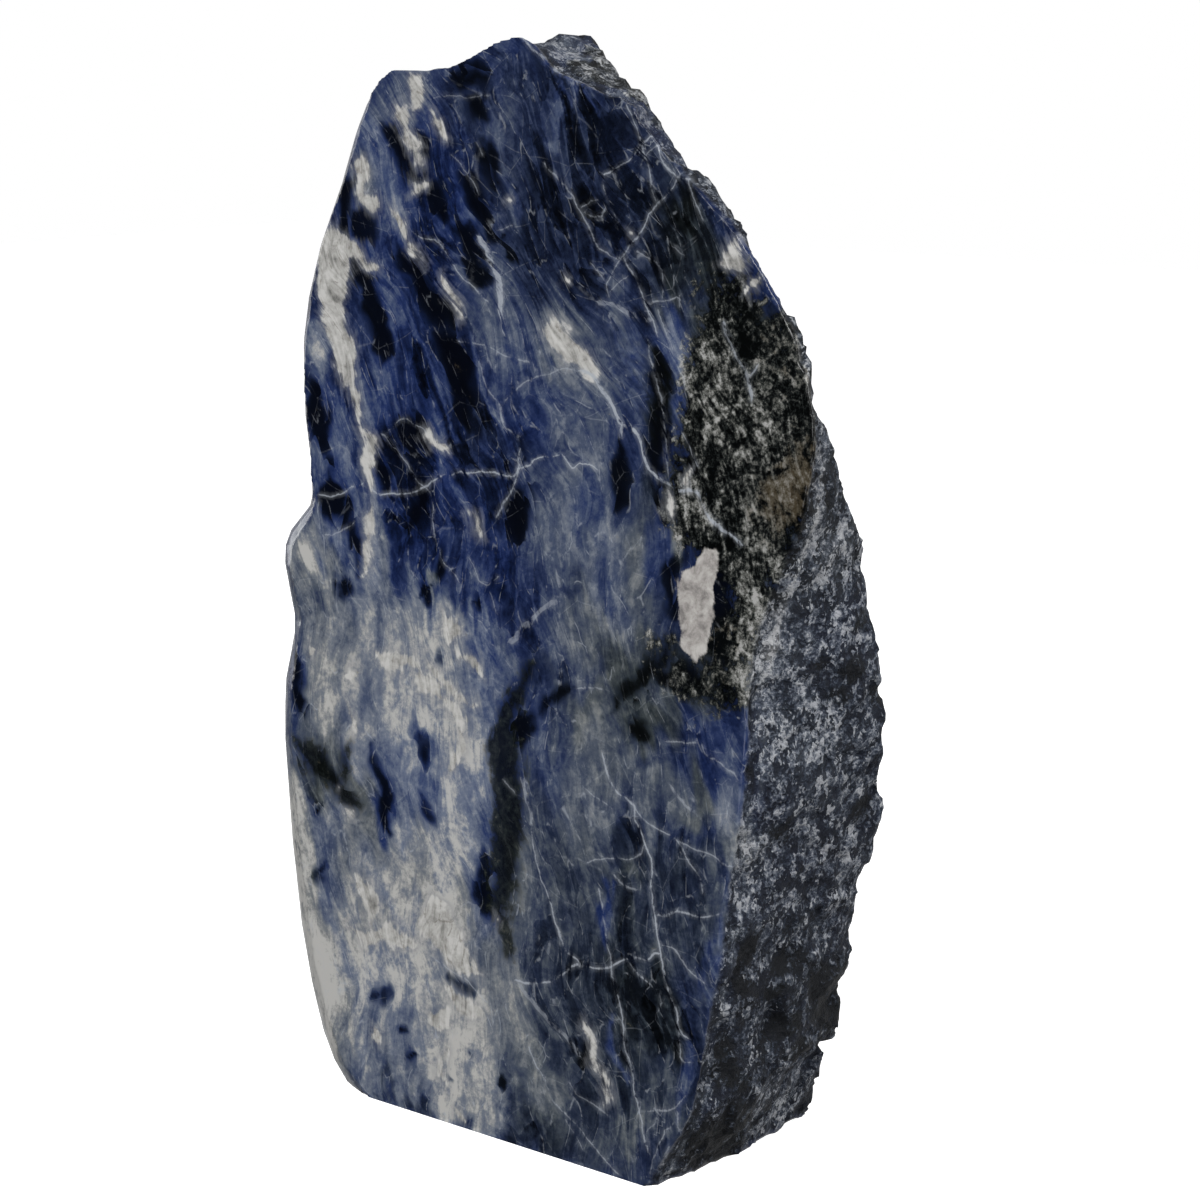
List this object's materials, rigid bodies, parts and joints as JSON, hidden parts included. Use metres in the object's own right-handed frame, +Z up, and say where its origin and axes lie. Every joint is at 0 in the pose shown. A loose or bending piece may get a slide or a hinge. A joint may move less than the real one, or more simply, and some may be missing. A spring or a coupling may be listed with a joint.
{
  "type": "rough sodalite",
  "caption": "Freestanding rough sodalite, its front ground flat and polished, its sides and back left broken, sawn flat at the foot.",
  "frame": {"origin": "under the middle of the stone's box, in the plane of its sawn foot", "axes": "+Z up, the stone's height; +X to the right as one faces the polished front; +Y from the polished front towards the broken back, through the thickness"},
  "size_m": [0.1192, 0.0588, 0.1875],
  "materials": {
    "sodalite": "polished front, rough broken sides and back"
  },
  "bodies": {
    "root": {"sodalite": "sodalite"}
  },
  "joints": []
}
